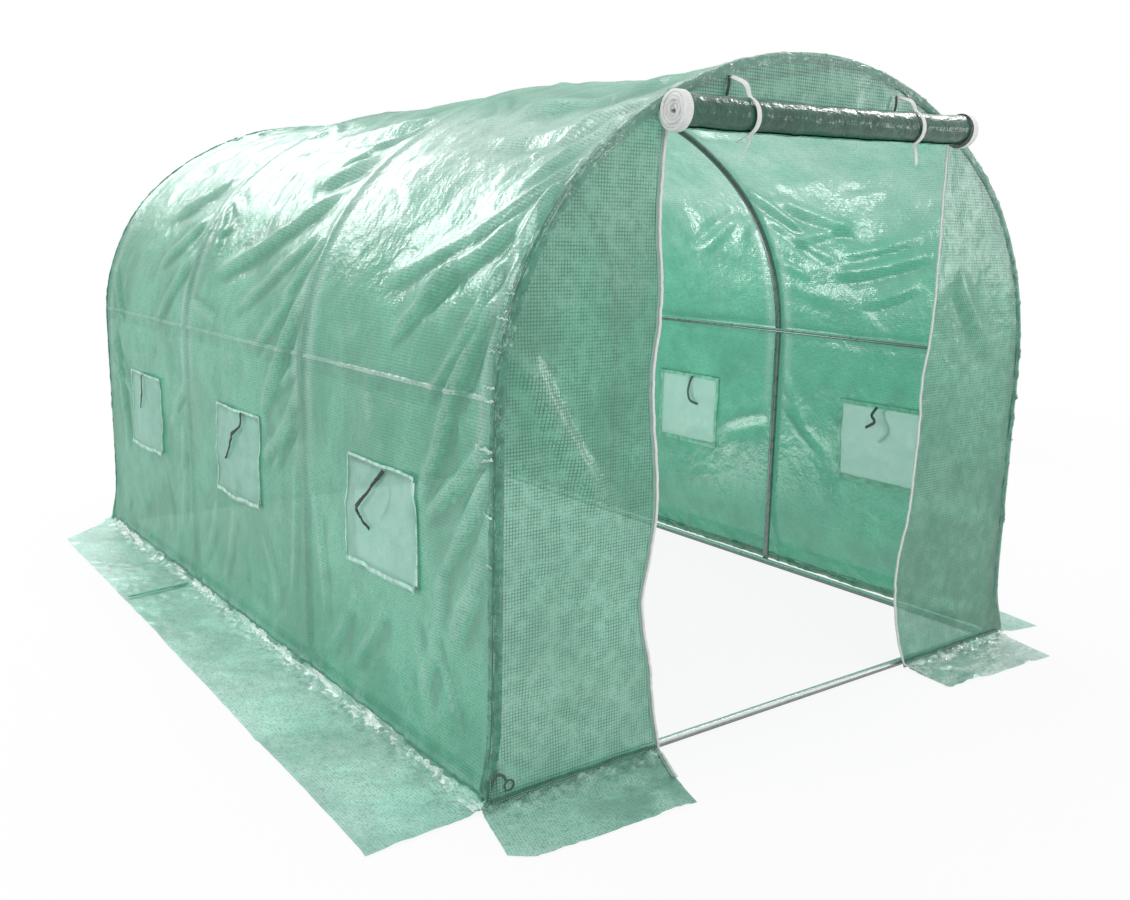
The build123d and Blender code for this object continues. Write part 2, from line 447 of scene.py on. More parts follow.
def steel_material(name):
    """Dull galvanised tube, faint blotches, drawn lines, painted lighter on top and darker underneath."""
    tree, place = new_material(name)
    blotches = noise_node(place, 35.0, 4.0)
    grain = noise_node(place, 190.0, 2.0)
    upward = split(add(tree, "NewGeometry", out="Normal"))[2]
    tone = painted(
        (0.20, 0.24, 0.235),
        (ranged(blotches, 0.3, 0.7), (0.27, 0.31, 0.305)),
        # Painted highlight where the tube faces up and painted shade where it faces down.
        (ranged(upward, 0.0, 0.85), (0.80, 0.83, 0.82)),
        (ranged(upward, -0.05, -0.7), (0.09, 0.11, 0.11)),
        (ranged(grain, 0.5, 0.8, 0.0, 0.1), (0.12, 0.15, 0.15)),
    )
    rough = ranged(blotches, 0.3, 0.7, 0.26, 0.36)
    body = {"Base Color": tone, "Metallic": 0.7, "Roughness": rough, "Normal": bumped(grain, 0.06, 0.0005)}
    finish(add(tree, "BsdfPrincipled", body))


def tape_material(name, colour, pitch, sheen=0.3):
    """Woven tape or webbing: fine ribs along it. On its cloth, u runs along in metres and v across."""
    tree, place = new_material(name)
    ribs = thread_lines(on_cloth(tree)[0], pitch, pitch * 0.45)
    fluff = noise_node(place, 90.0, 3.0)
    tone = painted(colour, (ribs, toned(colour, 0.8)),
                   (ranged(fluff, 0.45, 0.7, 0.0, 0.25), toned(colour, 0.6)))
    bump = bumped(ribs + fluff, 0.5, 0.0008)
    body = {"Base Color": tone, "Roughness": 0.6, "Sheen Weight": sheen, "Normal": bump}
    finish(add(tree, "BsdfPrincipled", body))


def net_material(name):
    """A fine green net: threads with holes between them."""
    tree, place = new_material(name)
    grid = woven(*on_cloth(tree), 0.004, 0.0011)
    tone = painted((0.45, 0.68, 0.6), (noise_node(place, 30.0), (0.65, 0.82, 0.75)))
    thread = add(tree, "BsdfPrincipled", {"Base Color": tone, "Roughness": 0.5})
    finish(layered(grid, add(tree, "BsdfTransparent"), thread))


def roll_material(name):
    """Many layers of the film rolled up: dark, glossy and sparkling on its threads."""
    tree, place = new_material(name)
    grid = woven(*on_cloth(tree), 0.006, 0.002)
    wide = noise_node(place, 7.0, 3.0)
    tone = painted((0.008, 0.070, 0.040), (ranged(wide, 0.35, 0.65), (0.018, 0.110, 0.068)),
                   (grid * 0.5, (0.02, 0.075, 0.05)))
    bump = bumped(noise_node(place, 85.0, 1.5, 0.5) * 1.4 + grid * -0.08, 1.0, 0.0014)
    finish(add(tree, "BsdfPrincipled",
               {"Base Color": tone, "Roughness": 0.4, "Specular IOR Level": 0.1, "Coat Weight": 1.0,
                "Coat Roughness": 0.05, "Coat IOR": 1.45, "Normal": bump, "Coat Normal": bump}))


film_material("wall_film", (0.140, 0.53, 0.37), (0.10, 0.56, 0.36), 0.10, (0.12, 0.42), rough=0.12)
film_material("front_film", (0.24, 0.59, 0.445), (0.23, 0.70, 0.50), 0.25, (0.92, 0.84), rough=0.12,
              crinkle=0.4, white=(0.48, 0.61, 0.55))
film_material("skirt_film", (0.43, 0.80, 0.67), (0.3, 0.7, 0.52), 0.03, (0.2, 0.3), lit=0.1)
film_material("foot_film", (0.33, 0.63, 0.52), (0.3, 0.7, 0.52), 0.05, (0.4, 0.4), lit=0.15)
# Paler, with painted white glints, standing in for the sheen of the skirt right of the door.
film_material("bright_foot_film", (0.42, 0.68, 0.59), (0.3, 0.7, 0.52), 0.05, (0.4, 0.3), lit=0.15,
              crinkle=1.4, haze=0.09, glints=0.85)
# Its white creased lines are painted glints.
film_material("fold_film", (0.30, 0.66, 0.52), (0.5, 0.85, 0.72), 0.03, (0.2, 0.2), rough=0.1, haze=0.03,
              lit=0.1, glints=1.7)
film_material("flap_film", (0.31, 0.57, 0.51), (0.68, 0.92, 0.87), 0.26, (0.03, 0.03), milk=0.22, lit=0.6)
# Dark seam film with painted white glints, painted paler towards the top.
seam_material("seam_film", (0.085, 0.34, 0.235), (0.045, 0.20, 0.135), pitch=0, lines=(0.42,), glints=0.22)
seam_material("edge_film", (0.16, 0.56, 0.39), (0.3, 0.6, 0.46), lines=(0.12, 0.88))
seam_material("sole_film", (0.055, 0.22, 0.155), (0.66, 0.84, 0.77), pitch=0.007, lines=(0.7,))
# Near-white film for the seam's puckers, a painted glint.
seam_material("glint_crease_film", (0.74, 0.93, 0.86), (0.95, 1.0, 0.98), lines=(0.5,))
seam_material("line_film", (0.10, 0.39, 0.27), (0.07, 0.30, 0.20), pitch=0, lines=(0.5,))
seam_material("hem_film", (0.60, 0.88, 0.80), (0.9, 0.98, 0.94), lines=(0.5,))
seam_material("border_film", (0.52, 0.86, 0.74), (0.8, 0.96, 0.88), pitch=0.007)
steel_material("steel_tube")
tape_material("white_tape", (0.90, 0.91, 0.90), 0.0022)
tape_material("zip_edge", (0.30, 0.48, 0.41), 0.003)
tape_material("webbing", (0.010, 0.022, 0.020), 0.0025, sheen=0.05)
tape_material("inner_webbing", (0.07, 0.12, 0.11), 0.0025, sheen=0.05)
net_material("window_net")
roll_material("rolled_film")

for node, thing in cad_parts.items():
    if node.startswith(("hoop_", "base_bar", "mid_bar", "ridge_bar")):
        thing.data.materials.clear()
        thing.data.materials.append(MATERIALS["steel_tube"])

# ---------------------------------------------------------------- the cover over the hoops

# Folds pulled into the cover: from (y, s) to (y, s), half width and height, in metres
FOLDS = [
    (-0.44, 1.56, -0.10, 1.44, 0.030, 0.010),
    (-0.45, 1.42, 0.32, 1.10, 0.024, 0.016),
    (-0.46, 1.30, 0.10, 0.98, 0.020, 0.007),
    (-1.44, 1.34, -1.02, 1.11, 0.028, 0.012),
    (-1.47, 1.46, -1.42, 1.20, 0.025, 0.010),
    (-1.34, 1.34, -0.86, 1.15, 0.026, 0.010),
    (-1.24, 1.24, -0.98, 1.00, 0.018, 0.011),
    (-1.42, 1.24, -1.33, 1.02, 0.016, 0.009),
    (-1.40, 1.12, -1.20, 0.88, 0.014, 0.007),
    (-1.45, 1.18, -1.27, 0.84, 0.024, 0.012),
    (-1.32, 0.90, -1.16, 0.62, 0.020, 0.010),
    (-1.49, 0.84, -1.19, 0.60, 0.017, 0.016),
    (-1.49, 0.80, -1.28, 0.48, 0.016, 0.012),
    (-1.48, 0.60, -1.28, 0.28, 0.030, 0.010),
    (-1.20, 0.36, -1.40, 0.10, 0.014, 0.007),
    (-0.48, 1.12, -0.18, 0.69, 0.022, 0.011),
    (-0.40, 1.10, -0.13, 0.90, 0.016, 0.008),
    (-0.46, 0.80, -0.24, 0.52, 0.020, 0.006),
    (0.52, 1.20, 0.86, 0.90, 0.022, 0.008),
    (0.53, 1.34, 0.95, 1.12, 0.024, 0.010),
    (0.55, 1.52, 1.10, 1.32, 0.030, 0.012),
    (0.56, 1.72, 1.25, 1.60, 0.040, 0.010),
    (-0.48, 1.80, 0.20, 1.70, 0.035, 0.009),
    (-1.46, 1.66, -0.90, 1.62, 0.030, 0.010),
    (-1.44, 1.92, -0.80, 1.80, 0.040, 0.012),
    (-0.85, 0.36, -0.62, 0.06, 0.022, 0.006),
    (-1.12, 0.36, -1.26, 0.05, 0.022, 0.006),
    (0.22, 0.38, 0.40, 0.06, 0.022, 0.006),
    (-0.14, 0.38, -0.33, 0.05, 0.024, 0.006),
    (-1.475, 1.46, -1.455, 0.92, 0.024, 0.008),
    (-1.30, 0.55, -1.18, 0.10, 0.026, 0.008),
    (-1.00, 0.34, -0.75, 0.05, 0.022, 0.007),
    (-0.56, 0.62, -0.64, 0.10, 0.022, 0.007),
    (-0.45, 0.66, -0.38, 0.10, 0.020, 0.007),
    (0.06, 0.38, 0.20, 0.04, 0.020, 0.006),
    (0.55, 0.62, 0.62, 0.10, 0.022, 0.007),
    (0.84, 0.40, 0.70, 0.05, 0.020, 0.006),
    (1.40, 0.90, 1.28, 0.30, 0.024, 0.008),
    (-0.48, 3.10, -0.74, 3.34, 0.018, 0.012),
    (-0.62, 3.17, -1.00, 3.31, 0.020, 0.012),
    (-0.78, 3.48, -1.26, 3.37, 0.018, 0.012),
    (-0.90, 3.58, -1.18, 3.48, 0.014, 0.009),
    (-0.84, 3.40, -1.24, 3.30, 0.014, 0.008),
    (-0.60, 3.36, -1.00, 3.24, 0.016, 0.008),
    (-0.44, 3.22, -0.10, 3.40, 0.020, 0.009),
    (0.52, 3.20, 0.86, 3.40, 0.022, 0.009),
    (1.40, 3.25, 1.05, 3.42, 0.022, 0.009),
]
# Wide hollows and swellings: (y, s, reach along y, reach along s, height)
SWELLS = [
    (-1.12, 1.86, 0.13, 0.34, -0.026),
    (-0.60, 2.08, 0.22, 0.30, 0.012),
    (-0.16, 2.02, 0.20, 0.30, 0.014),
    (0.95, 1.90, 0.30, 0.35, -0.012),
    (-1.00, 1.30, 0.18, 0.20, -0.012),
    (0.05, 1.22, 0.20, 0.20, -0.014),
    (0.95, 1.25, 0.22, 0.22, -0.012),
    (-0.98, 0.75, 0.26, 0.22, 0.008),
    (0.05, 0.72, 0.26, 0.24, 0.006),
    (-1.00, 3.30, 0.30, 0.25, -0.012),
    (0.00, 3.30, 0.30, 0.25, -0.010),
    (1.00, 3.30, 0.30, 0.25, -0.012),
]


def fold_shape(y, s, fold):
    """The height of one fold: a ridge along its line with a shallower hollow beside it."""
    y0, s0, y1, s1, width, height = fold
    along = np.array([y1 - y0, s1 - s0])
    length = np.hypot(*along)
    along = along / length
    t = ((y - y0) * along[0] + (s - s0) * along[1]) / length
    bend = 0.12 * length * (t - 0.5) ** 2
    away = (y - y0) * along[1] - (s - s0) * along[0] + bend
    fade = eased(np.clip(t * 5, 0, 1) * np.clip((1 - t) * 3, 0, 1), 0, 1)
    ridge = hump(away, width) - 0.55 * hump(away - 1.7 * width, width)
    return (1.35 if max(s0, s1) > 0.7 else 0.7) * height * fade * ridge


def random_folds():
    """Shorter folds that fan out from the hoops over both sides and the roof."""
    folds = []
    for hoop_y in hoop_ys:
        for direction in (-1, 1):
            if abs(hoop_y + direction * 0.1) > END:
                continue
            for _ in range(9):
                s = rng.uniform(0.5, ARC - 0.5)
                reach = direction * rng.uniform(0.12, 0.34)
                drop = (-1 if s < TO_RIDGE else 1) * rng.uniform(0.05, 0.3)
                start = hoop_y + direction * 0.02
                folds.append((start, s, start + reach, s + drop, rng.uniform(0.012, 0.026),
                              rng.uniform(0.003, 0.008)))
    for _ in range(26):
        y, s = rng.uniform(-1.35, 1.35), rng.uniform(1.1, ARC - 1.1)
        angle, reach = rng.uniform(-0.7, 0.7), rng.uniform(0.08, 0.28)
        folds.append((y, s, y + reach * cos(angle), s + reach * sin(angle), rng.uniform(0.010, 0.02),
                      rng.uniform(0.002, 0.006)))
    return folds


ALL_FOLDS = FOLDS + random_folds()


def cover_lift(y, s):
    """How far the cover stands out from the hoops' outline at each place."""
    t = np.minimum(s, ARC - s)
    from_hoop = from_hoops(y)
    between = np.clip(from_hoop / (hoop_ys[1] - hoop_ys[0]) * 2, 0, 1)
    lift = -np.where(t < POST, 0.0045, 0.0075) * (1 - hump(from_hoop, 0.026))
    lift = lift - 0.007 * np.clip((t - POST) / 0.6, 0, 1) * np.sin(between * pi / 2) ** 2
    lift = lift + flare(s)
    for fold in ALL_FOLDS:
        lift = lift + fold_shape(y, s, fold)
    crease = np.where(s > TO_RIDGE, s - 3.16 - 0.10 * y, s - 1.56)
    lift = lift + np.where(s > TO_RIDGE, 0.013, 0.006) * between**0.5 * np.exp(-np.abs(crease) / 0.10)
    for y0, s0, reach_y, reach_s, height in SWELLS:
        lift = lift + height * hump(y - y0, reach_y) * hump(s - s0, reach_s)
    lift = lift + 0.0055 * hump(t - mid_bar_z, 0.0055) * (from_hoop > 0.02)
    rough = np.clip(between * 3, 0.25, 1)
    lift = lift + rough * 0.0060 * field_noise(y, s, 0.34, 1)
    lift = lift + rough * 0.0016 * field_noise(y, s, 0.09, 2, stretch=0.7)
    loose = 0.25 + hump(t - 1.62, 0.30) * (0.45 + 0.55 * (y > hoop_ys[1]))
    lift = lift - rough * loose * 0.0085 * np.abs(field_noise(y, s, 0.15, 4, octaves=2, stretch=1.3))
    lift = lift + hump(t, 0.045) * 0.010 * field_noise(y, s, 0.035, 3)
    return np.clip(lift, -0.032, 0.042)


def place_on_cover(y, s, lift):
    """Points of the cover's surface, lift out from its outline."""
    x, z, nx, nz = outline(s)
    return at(x + nx * lift, y, z + nz * lift)


def wall_x(y, z, side):
    """The place across of the cover's outside at (y, z) on one long side."""
    s = z if side < 0 else ARC - z
    return place_on_cover(y, s, cover_lift(y, s))[..., 0]


def steps_along(low, high, spacing, fine, fine_reach, fine_spacing, exact):
    """Places from low to high, closer together round each place in fine, and at each place in exact."""
    places = [low]
    while places[-1] < high - 1e-6:
        near = any(abs(places[-1] - f) < fine_reach for f in fine)
        places.append(places[-1] + (fine_spacing if near else spacing))
    places = np.array(places[:-1] + [high])
    for e in exact:
        places[np.argmin(np.abs(places - e))] = e
    return places


# The window holes of each side: (y from, y to, z from, z to)
holes = {}
for side_name in SIDES:
    low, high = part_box(f"window_nets_{side_name}")
    half = (high.y - low.y - (hoop_ys[2] - hoop_ys[0])) / 2
    middles = [(hoop_ys[i] + hoop_ys[i + 1]) / 2 for i in range(3)]
    holes[side_name] = [(m - half, m + half, low.z, high.z) for m in middles]

sills = [*holes["left"][0][2:], *(ARC - z for z in holes["right"][0][2:])]
cover_s = steps_along(0.0, ARC, 0.0150, (0.0, ARC, mid_bar_z, ARC - mid_bar_z), 0.024, 0.004, sills)
cover_y = steps_along(-END, END, 0.0160, hoop_ys, 0.05, 0.0065, [y for h in holes["left"] for y in h[:2]])


def cover_painted_light(y, s, lift):
    """How the cover is painted: ridges paler, hollows darker, and painted highlights and shade."""
    t = np.minimum(s, ARC - s)
    left = s < TO_RIDGE
    away = from_hoops(y)
    # Painted highlights over the roof, strongest over the front bay on the left.
    roof_highlight = eased(t + 0.12 * field_noise(y, s, 0.35, 27), 1.22, 1.62)
    roof_highlight = roof_highlight * (0.75 + 0.35 * field_noise(y, s, 0.16, 28))
    roof_highlight = roof_highlight * np.where(left, 0.66 + 0.74 * eased(y, -0.30, -0.55), 1.05)
    # Along the left crest the painted highlights are taken back and painted shade is put on.
    ridge = eased(t, 1.70, 1.90) * (s < TO_RIDGE + 0.12)
    roof_highlight = roof_highlight * (1 - 0.8 * ridge)
    # Painted highlights in bands beside each hoop and in a line along the mid bar.
    beside = hump(away - 0.045, 0.020) * 0.55 * eased(t, 0.45, 0.9)
    bar_highlight = hump(t - mid_bar_z, 0.005) * (away > 0.02) * np.where(left, 0.3 + 0.9 * eased(y, 0.4, -1.0), 0.4)
    # Painted shade low on the right side and along the left crest.
    painted_shade = 0.40 * eased(t, 1.15, 0.75) * (s > TO_RIDGE) + 0.5 * ridge
    # Ridges of the cloth painted paler and its hollows painted darker.
    fold_light_and_shade = ridges(lift, 0.0034) * np.where(left, 1.0 - 0.5 * eased(t, 1.25, 1.50), 0.55)
    return {"relief": fold_light_and_shade - painted_shade + bar_highlight, "bleach": np.clip(np.maximum(roof_highlight, beside), 0, 1)}


def build_cover():
    """The long sheet over the hoops, with its window holes."""
    s, y = np.meshgrid(cover_s, cover_y, indexing="ij")
    lift = cover_lift(y, s)
    points = place_on_cover(y, s, lift)
    points[..., 2] = np.maximum(points[..., 2], 0.002)
    middle_s = (s[:-1, :-1] + s[1:, 1:]) / 2
    middle_y = (y[:-1, :-1] + y[1:, 1:]) / 2
    keep = np.ones(middle_s.shape, bool)
    for side_name, places in holes.items():
        height = middle_s if side_name == "left" else ARC - middle_s
        for y0, y1, z0, z1 in places:
            keep &= ~((middle_y > y0) & (middle_y < y1) & (height > z0) & (height < z1))
    uvs = np.stack([y.ravel(), s.ravel()], axis=1)
    mesh = drop_loose(points.reshape(-1, 3), grid_faces(*s.shape, keep=keep), uvs, cover_painted_light(y, s, lift))
    cover = new_object("tunnel_cover_film", *mesh[:3], "wall_film", "green_film", tones=mesh[3])
    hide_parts("tunnel_cover")
    hole_area = sum((h[1] - h[0]) * (h[3] - h[2]) for side in holes.values() for h in side)
    ARC * 2 * END - hole_area


build_cover()

# ---------------------------------------------------------------- end walls

front_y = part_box("front_wall_left")[0].y
back_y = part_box("back_wall")[1].y
over_low, over_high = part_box("front_wall_over_door")
DOOR_TOP = over_low.z
DOOR_HALF = over_high.x
LOWEST = 0.002  # how high over the ground the film's lowest edges lie

# The doorway's edges: (height, how far from the middle)
EDGES = {
    "left": [(0.0, 0.493), (0.10, 0.511), (0.24, 0.525), (0.39, 0.558), (0.52, 0.540), (0.68, 0.523),
             (0.95, 0.548), (1.15, 0.530), (1.35, 0.545), (1.60, 0.530)],
    "right": [(0.0, 0.500), (0.09, 0.468), (0.19, 0.447), (0.33, 0.441), (0.47, 0.468), (0.66, 0.484),
              (0.90, 0.490), (1.05, 0.514), (1.30, 0.514), (1.60, 0.520)],
}
FRONT_FOLDS = {
    "left": [(-0.955, 1.07, -0.635, 0.58, 0.030, 0.011), (-0.90, 0.60, -0.62, 0.42, 0.04, 0.006),
             (-0.96, 0.30, -0.60, 0.16, 0.04, 0.006)],
    "right": [(0.60, 1.20, 0.84, 0.92, 0.03, 0.006), (0.55, 0.52, 0.92, 0.40, 0.04, 0.006),
              (0.50, 0.22, 0.90, 0.10, 0.03, 0.007)],
}
BACK_FOLDS = [(-0.9, 1.1, -0.3, 0.6, 0.04, 0.008), (0.9, 1.0, 0.35, 0.55, 0.04, 0.008),
              (-0.6, 1.45, 0.1, 1.1, 0.05, 0.008), (0.7, 1.3, 0.2, 1.2, 0.04, 0.006),
              (-0.8, 0.1, -0.4, 0.4, 0.04, 0.006), (0.8, 0.1, 0.5, 0.4, 0.04, 0.006)]
FRONT_SEEDS = {"left": 11, "right": 15}


def front_lift(x, z, seed):
    """How far the front wall stands out towards the door end."""
    wave = 0.005 * field_noise(x, z, 0.45, seed) + 0.0018 * field_noise(x, z, 0.12, seed + 1)
    tight = np.clip((width_at(np.clip(z, 0, RISE + POST)) - np.abs(x)) / 0.12, 0, 1)
    return 0.010 * hump(z, 0.10) + wave * (0.2 + 0.8 * tight)


def front_point(x, z, side_name):
    """The front wall's surface, as its place along y."""
    lift = front_lift(x, z, FRONT_SEEDS[side_name])
    for fold in FRONT_FOLDS[side_name]:
        lift = lift + fold_shape(x, z, fold)
    return front_y - np.maximum(lift, -0.004) - 0.002


def edge_x(z, side_name):
    """The place across of one edge of the doorway at height z."""
    line = soft_curve(EDGES[side_name], 40 * len(EDGES[side_name]))
    order = np.argsort(line[:, 0])
    return SIDES[side_name] * np.interp(z, line[order, 0], line[order, 1])


def build_front_side(side_name):
    """The panel between the doorway and one side of the hoop."""
    side = SIDES[side_name]
    up, over = spanned(130, 44)
    z = up * float(top_at(DOOR_HALF))
    inner = side * edge_x(z, side_name)
    outer = np.maximum(width_at(z), inner + 0.002) + flare(z if side < 0 else ARC - z)
    x = side * (inner + (outer - inner) * over)
    y = front_point(x, z, side_name)
    grey = eased(z, 1.05, 1.45) * 0.7 + eased(z, 0.62, 0.30) * 0.2 + 0.35 * field_noise(x, z, 0.20, 29)
    # Ridges painted paler, hollows darker, and the panel painted darker towards the bottom as shade.
    height = 0.8 * ridges(-y, 0.0040) - (0.45 if side < 0 else 0.8) * eased(z, 0.85, 0.40)
    # A near-white painted highlight streak down the left panel.
    if side < 0:
        reach = (z - 0.74) / 0.30
        highlight_streak = hump(x + 0.712 + 0.215 * reach, 0.012)
        height = np.maximum(height, 2.1 * highlight_streak * eased(reach, -0.1, 0.3) * eased(reach, 1.15, 0.7))
    panel = new_sheet(f"front_panel_{side_name}", at(x, y, np.maximum(z, LOWEST)), x, z, "front_film",
                      "green_film", relief=height, bleach=np.clip(grey, 0, 1))
    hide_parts(f"front_wall_{side_name}")


def build_front_top():
    """The panel over the doorway, up to the top of the hoop."""
    up, over = spanned(24, 110)
    x = -DOOR_HALF - 0.012 + (2 * DOOR_HALF + 0.012) * over
    low = DOOR_TOP - 0.012 + 0.008 * np.sin(x * 5)
    z = low + (top_at(x) - low) * up
    panel = new_sheet("front_panel_top", at(x, front_y - 0.002 - front_lift(x, z, 19), z), x, z, "front_film",
                      "green_film", bleach=np.ones(x.shape))
    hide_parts("front_wall_over_door")


def build_back():
    """The closed end wall."""
    up, over = spanned(120, 120)
    z = up**0.9 * (TOP - 0.004)
    left, right = width_at(z) + flare(z), width_at(z) + flare(ARC - z)
    x = -left + (left + right) * over
    lift = 0.006 * field_noise(x, z, 0.5, 23) + 0.002 * field_noise(x, z, 0.13, 24) + 0.012 * hump(z, 0.1)
    for fold in BACK_FOLDS:
        lift = lift + fold_shape(x, z, fold)
    # Its ridges are painted paler and its hollows darker.
    wall = new_sheet("back_wall_film", at(x, back_y + np.maximum(lift, -0.001), np.maximum(z, LOWEST)), x, z,
                     "front_film", "green_film", relief=ridges(lift, 0.0034))
    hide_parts("back_wall")


for side_name in SIDES:
    build_front_side(side_name)
build_front_top()
build_back()

# ---------------------------------------------------------------- skirts on the ground

FOOT_LEFT, FOOT_RIGHT = WALL + 0.026, WALL + 0.038
FRONT_FOOT = front_y - 0.012
BACK_FOOT = back_y + 0.012
FOOT_START, FOOT_STOP = -END - 0.012, 1.535  # where the long skirts begin and end along the tunnel
BACK_EDGE = back_y + 0.236


def build_skirt(node, fold, edge, rows, columns, seed, material="skirt_film", bulge=0.006, bend=()):
    """A strip on the ground from its fold to its free edge; bend is where its last end runs between them."""
    u, v = np.linspace(0, 1, columns), np.linspace(0, 1, rows)
    low, high = along_line(fold, u)[None], along_line(edge, u)[None]
    near = along_line([fold[0], edge[0]], v)[:, None]
    far = along_line([fold[-1], *bend, edge[-1]], v, round_it=bool(bend))[:, None]
    uu, vv = u[None, :, None], v[:, None, None]
    corners = ((1 - uu) * (1 - vv) * low[0, 0] + uu * (1 - vv) * low[0, -1]
               + (1 - uu) * vv * high[0, 0] + uu * vv * high[0, -1])
    flat = (1 - vv) * low + vv * high + (1 - uu) * near + uu * far - corners
    x, y = flat[..., 0], flat[..., 1]
    ends = [np.array(line[k], float) for line in (fold, edge) for k in (0, -1)]
    length, far_length = np.linalg.norm(ends[1] - ends[0]), np.linalg.norm(ends[3] - ends[2])
    depth = np.linalg.norm((ends[2] + ends[3] - ends[0] - ends[1]) / 2)
    across = v[:, None] * np.ones_like(x)
    wave = field_noise(x, y, 0.16, seed) * bulge + field_noise(x, y, 0.05, seed + 1) * bulge * 0.4
    crumple = hump(across * depth, 0.045) * field_noise(x, y, 0.035, seed + 2)
    z = 0.0035 + np.maximum(wave, 0) + 0.016 * np.abs(crumple) + 0.004 * hump(across * depth, 0.02)
    slip = 0.004 * field_noise(x, y, 0.3, seed + 3) * across
    paler = np.clip(0.10 + 0.45 * field_noise(x, y, 0.24, seed + 5) + 0.25 * (across - 0.4), 0, 1)
    # Crumples painted paler on ridges, darker in hollows; its own tone pales in patches and at the free edge.
    strip = new_sheet(f"{node}_film", at(x + slip, y + slip, z), u[None, :] * length * np.ones_like(x),
                      across * depth, material, "skirt_film", bleach=paler, relief=ridges(z, 0.0030))
    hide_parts(node)


build_skirt("skirt_left", [(-FOOT_LEFT, FOOT_START), (-FOOT_LEFT, FOOT_STOP)],
            [(-1.314, -1.524), (-1.310, -1.494), (-1.246, 1.300)], 30, 260, 31)
build_skirt("skirt_right", [(FOOT_RIGHT, FOOT_START), (FOOT_RIGHT, FOOT_STOP)],
            [(1.195, -1.541), (1.224, -1.400), (1.240, 1.300)], 24, 240, 37)
build_skirt("skirt_front_left", [(-FOOT_LEFT - 0.008, FRONT_FOOT), (-0.497, FRONT_FOOT)],
            [(-1.073, -1.694), (-1.027, -1.731), (-0.586, -1.755)], 34, 70, 43,
            material="foot_film", bulge=0.009, bend=[(-0.510, -1.556), (-0.545, -1.625)])
build_skirt("skirt_front_right", [(0.504, FRONT_FOOT), (FOOT_RIGHT - 0.008, FRONT_FOOT)],
            [(0.483, -1.692), (0.972, -1.719)], 34, 70, 47,
            material="bright_foot_film", bulge=0.014)
build_skirt("skirt_back", [(-FOOT_LEFT, BACK_FOOT), (FOOT_RIGHT, BACK_FOOT)],
            [(-0.79, BACK_EDGE), (0.79, BACK_EDGE)], 24, 150, 53)

# ---------------------------------------------------------------- ribbons: seams, zips, ties and straps

# The cross-section of a ribbon: (share of its width, share of its thickness)
RIM = [(-0.5, -0.5), (0.0, -0.62), (0.5, -0.5), (0.5, 0.5), (0.0, 0.62), (-0.5, 0.5)]
UP, ALONG = (0.0, 0.0, 1.0), (0.0, 1.0, 0.0)


def unit(vectors):
    return vectors / np.linalg.norm(vectors, axis=1)[:, None]


def ribbon(name, path, across, width, material, slot, thick=0.0016):
    """A flat band along path, with both faces and its rims. across points to its one side, at each point or
    all along."""
    across = unit(np.broadcast_to(np.array(across, float), path.shape))
    normal = np.cross(unit(np.gradient(path, axis=0)), across)
    width = np.ones(len(path)) * width
    lengths = lengths_along(path)
    verts = np.stack([path + across * (a * width)[:, None] + normal * (h * thick) for a, h in RIM], axis=1)
    uvs = np.stack([np.stack([lengths, np.full(len(path), a + 0.5)], axis=1) for a, _ in RIM], axis=1)
    count, n = len(path), len(RIM)
    faces = [(i * n + k, i * n + (k + 1) % n, (i + 1) * n + (k + 1) % n, (i + 1) * n + k)
             for i in range(count - 1) for k in range(n)]
    faces += [tuple(range(n - 1, -1, -1)), tuple(range((count - 1) * n, count * n))]
    return new_object(name, verts.reshape(-1, 3), faces, uvs.reshape(-1, 2), material, slot, smooth=False)


def sideways(path, axis):
    """The directions square to a path and to one axis."""
    return np.cross(np.gradient(path, axis=0), axis)


def build_edge_seam(name, face_y, end, reaches, seed, material, puckers=()):
    """The doubled, sewn edge of the cover, drawn round an end hoop and onto the end wall.

    end is -1 at the door end and 1 at the back, reaches how far the edge runs along the cover and down the
    wall, and puckers where it is pulled together, as (way along, size)."""
    s, w = np.meshgrid(np.linspace(0.002, ARC - 0.002, 640), np.linspace(-reaches[0], reaches[1], 15))
    corner = np.hypot(w, 0.006)
    inset, along = (corner + w) / 2, (corner - w) / 2
    places = at(s, w, 0.0).reshape(-1, 3)
    crinkle = 0.0030 * fractal(places * [1, 0.8, 1], 0.030, seed).reshape(s.shape)
    crinkle += 0.0022 * fractal(places, 0.11, seed + 1, 2).reshape(s.shape)
    for middle, size in puckers:
        crinkle += size * hump(s - middle - 0.3 * w, 0.0045) * np.clip(1 - np.abs(w + 0.004) / 0.04, 0, 1)
    tube = 0.0035 * hump(inset - OUT, 0.010) * (w > 0)
    x, z, nx, nz = outline(s, OUT + 0.0022)
    proud = np.clip(crinkle, -0.0015, 0.01)
    x = x + nx * (proud - inset) + np.sign(x) * flare(s)
    z = np.maximum(z + nz * (proud - inset), LOWEST)
    y = face_y + end * (0.0035 + tube + proud * (w > -0.004) - along)
    seam = new_sheet(name, at(x, y, z), s, (w + reaches[0]) / sum(reaches), material, "green_film")


# Where each zip lies beyond the wall's foot: (across, towards the door end, up)
ZIP_FEET = {
    "left": [(-0.499, 1.520, 0.014), (-0.512, 1.556, 0.012), (-0.538, 1.610, 0.012), (-0.556, 1.650, 0.012)],
    "right": [(0.500, 1.520, 0.014), (0.500, 1.545, 0.013), (0.499, 1.575, 0.012), (0.497, 1.600, 0.012)],
}


